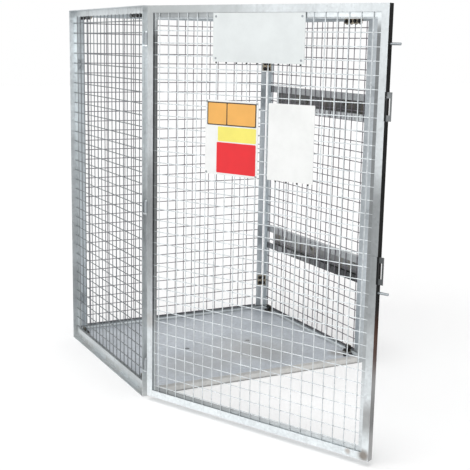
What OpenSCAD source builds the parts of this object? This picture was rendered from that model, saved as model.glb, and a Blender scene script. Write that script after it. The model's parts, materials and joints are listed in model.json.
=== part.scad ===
// Gas cylinder cage: galvanised angle frames filled with square weld mesh,
// a sheet floor, a mesh roof and one full-height door shown standing open.
// Millimetres, +Z up, front towards -Y, origin on the ground at the centre
// of the footprint.

/* [Cage] */
// Overall width between the outer faces of the side panels
cage_w = 1200; // [900:10:1800]
// Overall depth from the front posts to the rear panel
cage_d = 1000; // [700:10:1500]
// Overall height from the ground to the top of the panels
cage_h = 1725; // [1200:5:2100]
// Leg of the steel angle used for the panel frames
leg = 32; // [25:1:60]
// Thickness of the panel angle
leg_t = 3; // [3:0.5:8]
// Gap between the rear panel and each side panel
corner_gap = 15; // [5:1:25]

/* [Mesh] */
// Distance between the wires that are modelled here
mesh_pitch = 100; // [75:5:150]
// Wire thickness
wire = 4; // [3:0.5:8]

/* [Door] */
// Gap between the door's free edge and the leg of the front-right post
door_edge_gap = 12; // [6:1:20]
// Height of the door's lower edge above the ground
door_z0 = 20; // [15:1:60]
// How far the door's upper edge lies below the top of the cage
door_top_gap = 2; // [0:1:40]
// Leg of the door's angle frame
door_leg = 30; // [25:1:50]
// Thickness of the door's angle frame
door_t = 3; // [3:0.5:6]
// How far the door stands open, as in the photograph
door_open = 64; // [0:0.1:150]
// Clear gap between the closed door and the front posts
door_gap = 5; // [5:1:12]
// How far the strips behind the door's mesh show beside the stiles
strip_side = 18; // [5:1:30]
// How far the strips behind the door's mesh show beside the rails
strip_end = 18; // [5:1:30]
// Thickness of these strips
strip_t = 2; // [1.5:0.5:4]

/* [Hinges] */
// Hinge pin radius
pin_r = 6; // [5:0.5:10]
// Height of one hinge knuckle
knuckle_h = 50; // [30:1:80]
// Number of hinges up the post
hinge_count = 3; // [2:1:4]
// Distance from the door's upper and lower edges to the nearest knuckle
hinge_end = 110; // [60:5:300]
// Inset of the hinge axis from the cage's left side
axis_inset = 12; // [12:1:20]
// Distance from the hinge axis to the door's hinge edge
axis_to_door = 18; // [14:1:30]
// Thickness of the hinge straps
strap_t = 6; // [4:0.5:8]

/* [Locking] */
// Height of a hasp plate
hasp_h = 103; // [80:1:140]
// Width of a hasp plate
hasp_w = 52; // [40:1:80]
// Thickness of a hasp plate
hasp_t = 5; // [3:0.5:8]
// Width of the slot in a hasp plate
slot_w = 15; // [14:1:24]
// Height of the slot in a hasp plate
slot_h = 60; // [40:1:80]
// Height of a lock staple
staple_h = 50; // [30:1:70]
// Thickness of a lock staple
staple_t = 4; // [3:0.5:4]
// How far a lock staple stands out in front of its hasp
staple_out = 24; // [20:1:40]
// Radius of the padlock hole in a staple
padlock_r = 6; // [4:0.5:8]
// Height of the lower hasp's middle above the door's lower edge
hasp_low = 748; // [400:1:800]
// Distance from the upper hasp's middle to the door's upper edge
hasp_drop = 359; // [200:1:500]
// Height of the lower peg above the door's lower edge
peg_low = 661; // [300:1:690]
// Distance from the upper peg to the door's upper edge
peg_drop = 140; // [60:1:180]
// How far a peg stands out from the door's free edge
peg_out = 43; // [20:1:45]
// Peg radius
peg_r = 5; // [4:0.5:8]

/* [Floor] */
// Height of the floor tray's top face
floor_z = 40; // [30:1:80]
// Thickness of the floor sheet
floor_t = 3; // [2:0.5:6]
// Distance between the two anchor holes
anchor_gap = 350; // [200:10:600]
// Radius of an anchor hole
anchor_r = 7; // [4:0.5:10]
// Position of the anchor holes from the middle of the floor, front to rear
anchor_y = -50; // [-200:10:200]

/* [Restraint rails] */
// Height of the upper rail's centre line on the right panel
rail_upper_z = 1279; // [900:1:1600]
// Height of the lower rail's centre line on the right panel
rail_lower_z = 474; // [250:1:800]
// Overall height of a restraint rail
rail_h = 132; // [90:1:180]
// Leg of the two angles of a restraint rail that lies on the panel
rail_leg = 34; // [20:1:40]
// Thickness of the restraint rails
rail_t = 3; // [2:0.5:5]
// How far the plate between the two angles stops short at the rear
rail_web_short = 60; // [20:1:120]

/* [Brackets] */
// Length of a roof clamp
clamp_l = 150; // [60:1:200]
// How far a roof clamp hangs below the top rail of a side panel
clamp_drop = 12; // [5:1:20]
// Distance from the end of a side panel to the nearest roof clamp
clamp_end = 80; // [60:5:200]
// Thickness of the clamps, corner brackets and floor clips
bracket_t = 4; // [3:0.5:6]
// Height of a corner bracket
bracket_h = 60; // [40:1:140]
// How far a corner bracket laps onto the rear panel
bracket_lap = 25; // [12:1:30]
// Height of the lower corner brackets' lower edge
bracket_low = 180; // [80:5:400]
// Distance from the upper corner brackets' upper edge to the top of the cage
bracket_drop = 240; // [80:5:400]
// Height of a floor clip above the floor
clip_h = 35; // [20:1:60]
// Width of a floor clip
clip_w = 40; // [25:1:60]
// How far a floor clip reaches over the floor
clip_reach = 26; // [15:1:40]
// Distance from the front and rear edges of the floor to the nearest clip
clip_end = 60; // [30:5:150]
// Width of a floor bearer
bearer_w = 50; // [30:1:80]

/* [Door plates] */
// Width of the name plate
plate_w = 433; // [300:1:600]
// Height of the name plate
plate_h = 190; // [120:1:260]
// Width of the sign
sign_w = 262; // [200:1:300]
// Height of the sign
sign_h = 300; // [200:1:420]
// Width of the notice sheet
sheet_w = 210; // [150:1:230]
// Height of the notice sheet
sheet_h = 297; // [200:1:420]
// Gap between the sign and the notice sheet
board_gap = 48; // [10:1:60]
// How far the pair of signs sits to the free side of the door's middle
board_shift = 11; // [0:1:30]
// Distance from the upper edge of the signs to the door's upper edge
board_drop = 371; // [300:1:600]
// Thickness of the plate, the sign and the sheet
board_t = 2; // [1:0.5:3]

/* [Output] */
// Which sub-part to build, or all of them

/* [Hidden] */
$fn = 32;
hw = cage_w / 2;
hd = cage_d / 2;
galv = [0.80, 0.82, 0.83];
dull = [0.62, 0.65, 0.68];
zinc = [0.78, 0.66, 0.36];
board = [0.94, 0.94, 0.93];
// how far a mesh panel laps onto the angle of its frame
lap = 12;
// clearance between pieces that only have to pass each other
pass = 1;
// play of a hinge pin in its knuckle, on the radius
pin_clear = 0.1;
// inner faces of the side panels and of the rear panel; the angles of all
// three have their flat leg inside and the other leg pointing outwards
side_x = hw - leg;
rear_y = hd - leg_t;
rear_w = 2 * (side_x - corner_gap);
// hinge axis, and the closed door in front of the posts
axis_x = -hw + axis_inset;
axis_y = -hd - door_gap - door_leg / 2;
door_x0 = axis_x + axis_to_door;
door_y0 = -hd - door_gap - door_leg;
door_w = side_x - door_edge_gap - door_x0;
door_h = cage_h - door_top_gap - door_z0;
door_x1 = door_x0 + door_w;
door_z1 = door_z0 + door_h;
knuckle_r = pin_r + 4;
// middle of the hasp slots: just inside the edge of the front-right post
slot_x = side_x + staple_t / 2;
hasp_z = [door_z0 + hasp_low, door_z1 - hasp_drop];
peg_z = [door_z0 + peg_low, door_z1 - peg_drop];
// metal left beside the slot towards the free end of the hasp
slot_rim = 5.5;
// the pair of signs on the door, measured from the door's hinge edge
board_z = door_z1 - board_drop;
sign_x = door_w / 2 + board_shift - (sign_w + board_gap + sheet_w) / 2;
sheet_x = sign_x + sign_w + board_gap;
// roof panel, bolted between the top rails of the side panels
roof_gap = 3;
roof_d = rear_y - roof_gap + hd;
// floor tray, between the bottom rails
tray_w = 2 * side_x;
tray_d = rear_y + hd;

// angle with its heel on the origin edge, upright, legs along +X and +Y
module angle_bar(len, a, t)
{
  linear_extrude(len)
    polygon([[0, 0], [a, 0], [a, t], [t, t], [t, a], [0, a]]);
}

// the two uprights of a frame w wide and h high; flat leg in the plane y = 0,
// return leg pointing to +Y at each side
module frame_stiles(w, h, a, t)
{
  angle_bar(h, a, t);
  translate([w, 0, 0])
    mirror([1, 0, 0])
      angle_bar(h, a, t);
}

// the two rails of the same frame, cut back to fit between the stiles
module frame_rails(w, h, a, t)
{
  translate([a, 0, 0])
    rail_bar(w - 2 * a, w - 2 * t, a, t);
  translate([a, 0, h])
    mirror([0, 0, 1])
      rail_bar(w - 2 * a, w - 2 * t, a, t);
}

// horizontal angle: the flat leg is short and stops at the stile's flat leg,
// the return leg is long and stops at the stile's return leg
module rail_bar(flat_len, return_len, a, t)
{
  cube([flat_len, t, a]);
  translate([(flat_len - return_len) / 2, t, 0])
    cube([return_len, a - t, t]);
}

// flat lattice of square wires, fused where they cross, in the plane y = 0
module mesh(w, h, pitch, d)
{
  nx = round(w / pitch);
  nz = round(h / pitch);
  x0 = (w - nx * pitch) / 2;
  z0 = (h - nz * pitch) / 2;
  rotate([90, 0, 0])
    translate([0, 0, -d])
      linear_extrude(d)
        union()
        {
          for (i = [0 : nx - 1])
            translate([x0 + (i + 0.5) * pitch - d / 2, 0])
              square([d, h]);
          for (k = [0 : nz - 1])
            translate([0, z0 + (k + 0.5) * pitch - d / 2])
              square([w, d]);
        }
}

// mesh that fills a frame, welded to the flat leg between the other legs
module frame_mesh(w, h, a, t)
{
  translate([a - lap, t, a - lap])
    mesh(w - 2 * (a - lap), h - 2 * (a - lap), mesh_pitch, wire);
}

// places a frame drawn in the plane y = 0 on each side of the cage, its
// second leg outwards
module at_left()
{
  translate([-side_x, -hd, 0])
    rotate([0, 0, 90])
      children();
}

module at_right()
{
  translate([side_x, hd, 0])
    rotate([0, 0, -90])
      children();
}

module at_rear()
{
  translate([-rear_w / 2, rear_y, 0])
    children();
}

// door drawn closed, then swung open about its hinge axis
module swung()
{
  translate([axis_x, axis_y, 0])
    rotate([0, 0, -door_open])
      translate([-axis_x, -axis_y, 0])
        children();
}

module at_door()
{
  swung()
    translate([door_x0, door_y0, door_z0])
      children();
}

module left_stiles()
{
  color(galv)
    at_left()
      frame_stiles(cage_d, cage_h, leg, leg_t);
}

module left_rails()
{
  color(dull)
    at_left()
      frame_rails(cage_d, cage_h, leg, leg_t);
}

module left_mesh()
{
  color(galv)
    at_left()
      frame_mesh(cage_d, cage_h, leg, leg_t);
}

module right_stiles()
{
  color(galv)
    at_right()
      frame_stiles(cage_d, cage_h, leg, leg_t);
}

module right_rails()
{
  color(dull)
    at_right()
      frame_rails(cage_d, cage_h, leg, leg_t);
}

module right_mesh()
{
  color(galv)
    at_right()
      frame_mesh(cage_d, cage_h, leg, leg_t);
}

module rear_stiles()
{
  color(galv)
    at_rear()
      frame_stiles(rear_w, cage_h, leg, leg_t);
}

module rear_rails()
{
  color(dull)
    at_rear()
      frame_rails(rear_w, cage_h, leg, leg_t);
}

module rear_mesh()
{
  color(galv)
    at_rear()
      frame_mesh(rear_w, cage_h, leg, leg_t);
}

// two angles across the outside of the right panel's mesh, joined by a plate
// that leaves them open at the rear; the cylinder straps hook behind it
module restraint_rail(z)
{
  run = 2 * rear_y;
  depth = leg - leg_t - wire;
  translate([hw - depth, -rear_y, z - rail_h / 2])
    union()
    {
      for (up = [0, 1])
        translate([0, 0, up * rail_h])
          mirror([0, 0, up])
          {
            cube([rail_t, run, rail_leg]);
            cube([depth, run, rail_t]);
          }
      translate([depth - rail_t, 0, 0])
        cube([rail_t, run - rail_web_short, rail_h]);
    }
}

module upper_restraint_rail()
{
  color(dull)
    restraint_rail(rail_upper_z);
}

module lower_restraint_rail()
{
  color(dull)
    restraint_rail(rail_lower_z);
}

// roof frame: side members are angles bolted to the side panels' top rails,
// the members across are flat bars
module at_roof()
{
  translate([-side_x, -hd, cage_h])
    rotate([-90, 0, 0])
      children();
}

module roof_side_members()
{
  color(galv)
    at_roof()
      frame_stiles(2 * side_x, roof_d, door_leg, door_t);
}

module roof_cross_members()
{
  color(dull)
    at_roof()
      for (y = [0, roof_d - door_leg])
        translate([door_leg, 0, y])
          cube([2 * (side_x - door_leg), door_t, door_leg]);
}

module roof_mesh()
{
  color(galv)
    at_roof()
      frame_mesh(2 * side_x, roof_d, door_leg, door_t);
}

// plates bolted inside the side members of the roof, seen below the top rails
module roof_clamps()
{
  ch = leg - door_t + clamp_drop;
  color(zinc)
    for (sx = [0, 1])
      for (y = [clamp_end - hd, rear_y - roof_gap - clamp_end - clamp_l])
        mirror([sx, 0, 0])
          translate([side_x - door_t - bracket_t, y, cage_h - door_t - ch])
            cube([bracket_t, clamp_l, ch]);
}

// angles inside the rear corners that bridge the gap between the panels
module corner_brackets()
{
  bw = corner_gap + bracket_lap;
  color(zinc)
    for (sx = [0, 1])
      for (z = [bracket_low, cage_h - bracket_drop - bracket_h])
        mirror([sx, 0, 0])
          translate([side_x, rear_y, z])
            mirror([1, 0, 0])
              mirror([0, 1, 0])
                linear_extrude(bracket_h)
                  polygon([
                    [0, 0], [bw, 0], [bw, bracket_t], [bracket_t, bracket_t],
                    [bracket_t, bracket_lap], [0, bracket_lap]
                  ]);
}

// floor sheet folded down along all four edges
module floor_tray()
{
  color(dull)
    translate([-tray_w / 2, -hd, 0])
      difference()
      {
        cube([tray_w, tray_d, floor_z]);
        translate([floor_t, floor_t, -1])
          cube([tray_w - 2 * floor_t, tray_d - 2 * floor_t, floor_z - floor_t + 1]);
        for (sx = [-1, 1])
          translate([tray_w / 2 + sx * anchor_gap / 2, hd + anchor_y, 0])
            cylinder(r = anchor_r, h = floor_z + 1);
      }
}

// three channels under the floor sheet, open side up
module floor_bearers()
{
  color(dull)
    for (x = [-tray_w / 3, 0, tray_w / 3])
      translate([x - bearer_w / 2, -hd + floor_t, 0])
        difference()
        {
          cube([bearer_w, tray_d - 2 * floor_t, floor_z - floor_t]);
          translate([floor_t, -pass, floor_t])
            cube([bearer_w - 2 * floor_t, tray_d, floor_z]);
        }
}

// angles on the edges of the floor that clamp it to the side panels
module floor_clips()
{
  color(zinc)
    for (sx = [0, 1])
      for (y = [clip_end - hd, rear_y - clip_end - clip_w])
        mirror([sx, 0, 0])
          translate([side_x, y, floor_z])
            mirror([1, 0, 0])
              union()
              {
                cube([bracket_t, clip_w, clip_h]);
                cube([clip_reach, clip_w, bracket_t]);
              }
}

// heights of the knuckles up the front-left post
function hinge_z(i) =
  door_z0 + hinge_end
  + i * (door_h - 2 * hinge_end - knuckle_h) / (hinge_count - 1);

// brackets on the front-left post, each with an upright pin
module hinge_pintles()
{
  color(galv)
    for (i = [0 : hinge_count - 1])
      translate([axis_x, axis_y, hinge_z(i) - pass - strap_t])
        union()
        {
          linear_extrude(strap_t)
            union()
            {
              circle(r = knuckle_r - pass);
              translate([pass - knuckle_r, 0])
                square([2 * (knuckle_r - pass), -hd - axis_y]);
            }
          cylinder(r = pin_r, h = strap_t + pass + knuckle_h + strap_t);
        }
}

// tubes on the door's hinge stile that turn on the pins
module hinge_knuckles()
{
  color(galv)
    swung()
      for (i = [0 : hinge_count - 1])
        translate([axis_x, axis_y, hinge_z(i)])
          linear_extrude(knuckle_h)
            difference()
            {
              union()
              {
                circle(r = knuckle_r);
                translate([0, -strap_t / 2])
                  square([axis_to_door, strap_t]);
              }
              circle(r = pin_r + pin_clear);
            }
}

// flat staples on the front-right post that stand through the hasps
module lock_staples()
{
  reach = door_gap + door_leg + hasp_t + staple_out;
  color(galv)
    for (z = hasp_z)
      translate([slot_x - staple_t / 2, -hd - reach, z - staple_h / 2])
        difference()
        {
          cube([staple_t, reach, staple_h]);
          translate([-pass, staple_out / 2, staple_h / 2])
            rotate([0, 90, 0])
              cylinder(r = padlock_r, h = staple_t + 2 * pass);
        }
}

// slotted plates on the door's free stile that close over the staples
module hasp_plates()
{
  color(galv)
    swung()
      for (z = hasp_z)
        translate([slot_x + slot_w / 2 + slot_rim - hasp_w, door_y0 - hasp_t, z - hasp_h / 2])
          difference()
          {
            cube([hasp_w, hasp_t, hasp_h]);
            translate([hasp_w - slot_rim - slot_w, -pass, (hasp_h - slot_h) / 2])
              cube([slot_w, hasp_t + 2 * pass, slot_h]);
          }
}

// round pegs that stand out from the door's free edge
module locating_pegs()
{
  color(galv)
    swung()
      for (z = peg_z)
        translate([door_x1, axis_y, z])
          rotate([0, 90, 0])
            cylinder(r = peg_r, h = peg_out);
}

module door_stiles()
{
  color(galv)
    at_door()
      frame_stiles(door_w, door_h, door_leg, door_t);
}

module door_rails()
{
  color(galv)
    at_door()
      frame_rails(door_w, door_h, door_leg, door_t);
}

module door_mesh()
{
  color(galv)
    at_door()
      frame_mesh(door_w, door_h, door_leg, door_t);
}

// flat bars that clamp the mesh against the door's frame from behind
module door_mesh_strips()
{
  b0 = door_leg - lap;
  side = lap + strip_side;
  color(dull)
    at_door()
      translate([b0, door_t + wire + strip_t, b0])
        rotate([90, 0, 0])
          linear_extrude(strip_t)
            difference()
            {
              square([door_w - 2 * b0, door_h - 2 * b0]);
              translate([side, lap + strip_end])
                square([
                  door_w - 2 * (b0 + side),
                  door_h - 2 * (b0 + lap + strip_end)
                ]);
            }
}

// flat plate on the front of the door's mesh, lower left corner at x, z
module face_plate(x, z, w, h)
{
  at_door()
    translate([x, door_t - board_t, z - door_z0])
      cube([w, board_t, h]);
}

module name_plate()
{
  color([0.86, 0.88, 0.89])
    face_plate((door_w - plate_w) / 2, door_z1 - door_leg - pass - plate_h, plate_w, plate_h);
}

module sign_panel()
{
  color(board)
    face_plate(sign_x, board_z - sign_h, sign_w, sign_h);
}

module notice_sheet()
{
  color(board)
    face_plate(sheet_x, board_z - sheet_h, sheet_w, sheet_h);
}

left_stiles();
left_rails();
left_mesh();
rear_stiles();
rear_rails();
rear_mesh();
right_stiles();
right_rails();
right_mesh();
upper_restraint_rail();
lower_restraint_rail();
roof_side_members();
roof_cross_members();
roof_mesh();
roof_clamps();
corner_brackets();
floor_tray();
floor_bearers();
floor_clips();
hinge_pintles();
lock_staples();
door_stiles();
door_rails();
door_mesh();
door_mesh_strips();
hinge_knuckles();
hasp_plates();
locating_pegs();
name_plate();
sign_panel();
notice_sheet();
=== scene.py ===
"""Gas cylinder cage: looks for the packed part.

Weld mesh, fasteners, welds and signs are built around the frame, and every
part gets a procedural finish. Lengths are metres, angles radians.
"""

import json
import math

import bmesh
import bpy
from mathutils import Matrix, Vector


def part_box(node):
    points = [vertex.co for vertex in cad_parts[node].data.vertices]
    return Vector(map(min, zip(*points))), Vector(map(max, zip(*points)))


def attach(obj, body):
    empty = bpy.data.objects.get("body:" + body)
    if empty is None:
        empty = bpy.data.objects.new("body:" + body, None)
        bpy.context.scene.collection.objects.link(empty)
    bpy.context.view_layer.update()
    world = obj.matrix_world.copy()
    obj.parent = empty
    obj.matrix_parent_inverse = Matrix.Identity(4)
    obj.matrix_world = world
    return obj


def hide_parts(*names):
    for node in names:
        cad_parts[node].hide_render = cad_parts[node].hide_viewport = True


bl_info = {
    "name": "Gas cylinder cage",
    "version": (1, 0, 0),
    "blender": (4, 5, 0),
    "location": "View3D > Sidebar > Cage",
    "description": "Weld mesh, fasteners, signs and finishes of a galvanised cage",
    "category": "Object",
}

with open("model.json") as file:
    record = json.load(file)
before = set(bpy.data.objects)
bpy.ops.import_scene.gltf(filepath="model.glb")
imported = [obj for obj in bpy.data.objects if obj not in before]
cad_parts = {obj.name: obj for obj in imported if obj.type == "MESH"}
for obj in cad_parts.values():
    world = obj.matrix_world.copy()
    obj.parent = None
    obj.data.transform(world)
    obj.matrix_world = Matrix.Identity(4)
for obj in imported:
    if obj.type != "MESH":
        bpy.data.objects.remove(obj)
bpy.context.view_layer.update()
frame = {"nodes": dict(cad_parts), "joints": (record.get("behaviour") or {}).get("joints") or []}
HINGE = frame["joints"][0]


# ---------------------------------------------------------------------------
# Places taken from the frame
# ---------------------------------------------------------------------------

def swing_matrix():
    """Turns the door from its closed layout to where it stands at rest."""
    axis = Vector(HINGE["pos_m"])
    turn = Matrix.Rotation(-math.radians(HINGE["range_deg"][1]), 4, "Z")
    return Matrix.Translation(axis) @ turn @ Matrix.Translation(-axis)


SWING = swing_matrix()


def extent(points):
    """Lowest and highest corner of the box round some points."""
    return (Vector([min(p[i] for p in points) for i in range(3)]),
            Vector([max(p[i] for p in points) for i in range(3)]))


def closed_box(node):
    """Box of a node of the door with the door closed."""
    back = SWING.inverted()
    return extent([back @ v.co for v in frame["nodes"][node].data.vertices])


def along_door(x):
    """Distance along the open door of a place x on the closed one."""
    return (SWING @ Vector((x, 0, 0))).dot(DOOR_ALONG)


DOOR_ALONG = SWING.to_3x3() @ Vector((1, 0, 0))
DOOR_OUT = SWING.to_3x3() @ Vector((0, -1, 0))
LEFT_LOW, LEFT_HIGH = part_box("left_stiles")
RIGHT_LOW, RIGHT_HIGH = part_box("right_stiles")
REAR_LOW, REAR_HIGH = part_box("rear_stiles")
DOOR_LOW, DOOR_HIGH = closed_box("door_stiles")
ROOF_LOW, ROOF_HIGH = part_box("roof_side_members")
TRAY_LOW, TRAY_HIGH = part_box("floor_tray")
LEG = LEFT_HIGH.x - LEFT_LOW.x
DOOR_LEG = DOOR_HIGH.y - DOOR_LOW.y


def panel_matrix(origin, along, up):
    """Panel frame: x along the panel, z up it, y from the angle to the mesh."""
    x = Vector(along).normalized()
    z = Vector(up).normalized()
    y = z.cross(x)
    turn = Matrix((x, y, z)).transposed().to_4x4()
    return Matrix.Translation(Vector(origin)) @ turn


# panel name: (matrix, width, height, angle leg, body)
PANELS = {
    "left": (
        panel_matrix((LEFT_HIGH.x, LEFT_LOW.y, 0), (0, 1, 0), (0, 0, 1)),
        LEFT_HIGH.y - LEFT_LOW.y, LEFT_HIGH.z, LEG, "cage",
    ),
    "rear": (
        panel_matrix((REAR_LOW.x, REAR_LOW.y, 0), (1, 0, 0), (0, 0, 1)),
        REAR_HIGH.x - REAR_LOW.x, REAR_HIGH.z, LEG, "cage",
    ),
    "right": (
        panel_matrix((RIGHT_LOW.x, RIGHT_HIGH.y, 0), (0, -1, 0), (0, 0, 1)),
        RIGHT_HIGH.y - RIGHT_LOW.y, RIGHT_HIGH.z, LEG, "cage",
    ),
    "roof": (
        panel_matrix((ROOF_LOW.x, ROOF_LOW.y, ROOF_HIGH.z), (1, 0, 0), (0, 1, 0)),
        ROOF_HIGH.x - ROOF_LOW.x, ROOF_HIGH.y - ROOF_LOW.y,
        ROOF_HIGH.z - ROOF_LOW.z, "cage",
    ),
    "door": (
        SWING @ panel_matrix(DOOR_LOW, (1, 0, 0), (0, 0, 1)),
        DOOR_HIGH.x - DOOR_LOW.x, DOOR_HIGH.z - DOOR_LOW.z, DOOR_LEG, "door",
    ),
}


# ---------------------------------------------------------------------------
# Sizes and colours a user would change
# ---------------------------------------------------------------------------

def length(name, text, value, low=0.0, high=10.0):
    """A length property in metres."""
    return bpy.props.FloatProperty(
        name=name, description=text, default=value, min=low, max=high,
        unit="LENGTH", subtype="DISTANCE", precision=4)


def tint(name, text, value):
    """A colour property."""
    return bpy.props.FloatVectorProperty(
        name=name, description=text, default=value, size=3,
        min=0.0, max=1.0, subtype="COLOR")


class CageMeshSizes(bpy.types.PropertyGroup):
    """Sizes of the square weld mesh."""

    pitch: length("Pitch", "Distance between neighbouring wires", 0.05, 0.02, 0.2)
    wire: length("Wire", "Thickness of a wire of the door", 0.004, 0.001, 0.006)
    heavy: length("Heavy wire", "Thickness of a wire of the cage", 0.0046, 0.001, 0.006)
    lap: length("Lap", "How far the wires run onto the angle", 0.014, 0.0, 0.03)
    long_lap: length("Long lap", "Lap of cross wires on the cage", 0.024, 0.0, 0.03)
    short_lap: length("Short lap", "Lap of upright wires on the cage", 0.002, 0.0, 0.03)
    angle: length("Angle", "Thickness of the frame angle", 0.003, 0.001, 0.01)
    wave: length("Wave", "How far a wire strays from straight", 0.0008, 0.0, 0.01)


class CageFastenerSizes(bpy.types.PropertyGroup):
    """Sizes of the bolts, washers and weld beads."""

    bolt_flats: length("Bolt flats", "Across the flats of a bolt head", 0.016, 0.005, 0.05)
    bolt_height: length("Bolt height", "Height of a bolt head", 0.0065, 0.002, 0.03)
    washer: length("Washer", "Outer diameter of a washer", 0.020, 0.006, 0.06)
    weld: length("Weld", "Width of a weld bead", 0.006, 0.002, 0.02)


class CageLipSizes(bpy.types.PropertyGroup):
    """Sizes of the folded lips of the floor sheet and of the cover strips."""

    height: length("Height", "Height of a lip above the floor", 0.018, 0.01, 0.06)
    reach: length("Reach", "How far a lip lies on the floor", 0.016, 0.008, 0.05)
    thick: length("Thickness", "Thickness of a lip or strip", 0.002, 0.001, 0.004)
    cover: length("Cover", "Width of the strips that cover the wire ends", 0.028, 0.01, 0.05)
    bend: length("Bend", "Outer radius of the fold", 0.005, 0.003, 0.01)


class CageColours(bpy.types.PropertyGroup):
    """Colours of the finishes, linear."""

    bright: tint("Bright zinc", "Fresh galvanised steel", (0.62, 0.655, 0.67))
    dull: tint("Dull zinc", "Weathered galvanised steel", (0.36, 0.39, 0.41))
    floor: tint("Floor zinc", "Galvanised floor sheet", (0.54, 0.58, 0.625))
    rail: tint("Rail zinc", "Stained restraint rails", (0.40, 0.42, 0.43))
    stain: tint("Stain", "Rust and dirt on the restraint rails", (0.16, 0.14, 0.10))
    yellow: tint("Yellow zinc", "Yellow passivated brackets", (0.50, 0.445, 0.35))
    dark: tint("Dark bolt", "Blackened bolts", (0.02, 0.02, 0.022))
    plate: tint("Plate", "Bare name plate", (0.70, 0.735, 0.735))
    paper: tint("Paper", "Bare notice sheet and sign board", (0.86, 0.87, 0.86))
    orange: tint("Orange field", "Upper field of the sign", (0.86, 0.44, 0.10))
    gold: tint("Yellow field", "Middle field of the sign", (0.90, 0.80, 0.16))
    red: tint("Red field", "Lower field of the sign", (0.78, 0.012, 0.02))
    line: tint("Field outline", "Outline of the upper field", (0.03, 0.022, 0.015))


class CageStageSizes(bpy.types.PropertyGroup):
    """Camera and light of the studio."""

    eye: bpy.props.FloatVectorProperty(
        name="Eye", description="Place of the camera", size=3,
        default=(-2.1562, -4.3964, 1.5672), subtype="XYZ", unit="LENGTH")
    yaw: bpy.props.FloatProperty(
        name="Yaw", description="Camera turned to the right",
        default=math.radians(27.3252), subtype="ANGLE", unit="ROTATION")
    pitch: bpy.props.FloatProperty(
        name="Pitch", description="Camera tilted down",
        default=math.radians(11.0394), subtype="ANGLE", unit="ROTATION")
    roll: bpy.props.FloatProperty(
        name="Roll", description="Camera turned about its own axis",
        default=math.radians(1.1064), subtype="ANGLE", unit="ROTATION")
    lens: bpy.props.FloatProperty(
        name="Lens", description="Focal length", default=74.443,
        min=10.0, max=300.0, subtype="DISTANCE_CAMERA")
    floor_size: length("Floor size", "Side of the studio floor", 60.0, 5.0, 200.0)


GROUPS = {
    "cage_mesh": CageMeshSizes,
    "cage_lips": CageLipSizes,
    "cage_fasteners": CageFastenerSizes,
    "cage_colours": CageColours,
    "cage_stage": CageStageSizes,
}


# ---------------------------------------------------------------------------
# Node trees
# ---------------------------------------------------------------------------

class Tree:
    """Short way to write a node tree."""

    def __init__(self, tree):
        self.tree = tree

    def add(self, kind, values=None, **settings):
        """A node; values sets or links its inputs, by name or number."""
        node = self.tree.nodes.new(kind)
        for key, value in settings.items():
            setattr(node, key, value)
        for key, value in (values or {}).items():
            self.put(node.inputs[key], value)
        return node

    def put(self, socket, value):
        """Sets a socket, or links it from another socket."""
        if isinstance(value, bpy.types.NodeSocket):
            self.tree.links.new(value, socket)
        elif socket.type == "RGBA":
            socket.default_value = (*value[:3], 1.0)
        else:
            socket.default_value = value

    def math(self, operation, a, b=0.0, c=0.0, clamp=False):
        """Result of a Math node."""
        node = self.add("ShaderNodeMath", {0: a, 1: b, 2: c}, operation=operation)
        node.use_clamp = clamp
        return node.outputs[0]

    def vector(self, operation, a, b=(0, 0, 0), out=0):
        """Result of a Vector Math node."""
        node = self.add("ShaderNodeVectorMath", {0: a, 1: b}, operation=operation)
        return node.outputs[out]

    def ramp(self, value, low, high, to_low=0.0, to_high=1.0):
        """value mapped from low..high to to_low..to_high, smooth and clamped."""
        node = self.add("ShaderNodeMapRange", {
            "Value": value, "From Min": low, "From Max": high,
            "To Min": to_low, "To Max": to_high})
        node.interpolation_type = "SMOOTHSTEP"
        return node.outputs[0]

    def mix(self, share, a, b, blend="MIX"):
        """Two colours mixed by share."""
        node = self.add("ShaderNodeMix", data_type="RGBA", blend_type=blend)
        self.put(node.inputs["Factor"], share)
        self.put(node.inputs[6], a)
        self.put(node.inputs[7], b)
        return node.outputs[2]

    def noise(self, place, scale, detail=3.0, rough=0.55, stretch=(1, 1, 1)):
        """Noise from 0 to 1 on a stretched place."""
        at = self.vector("MULTIPLY", place, stretch)
        node = self.add("ShaderNodeTexNoise", {
            "Vector": at, "Scale": scale, "Detail": detail, "Roughness": rough})
        return node.outputs[0]


# ---------------------------------------------------------------------------
# Finishes
# ---------------------------------------------------------------------------

def new_material(name):
    """An empty material with its tree, its output and a Principled shader."""
    material = bpy.data.materials.new(name)
    material.use_nodes = True
    material.node_tree.nodes.clear()
    tree = Tree(material.node_tree)
    shader = tree.add("ShaderNodeBsdfPrincipled")
    tree.add("ShaderNodeOutputMaterial", {"Surface": shader.outputs[0]})
    return material, tree, shader


def object_place(tree):
    """Object coordinates, which stay with the piece when its body moves."""
    return tree.add("ShaderNodeTexCoord").outputs["Object"]


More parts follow.
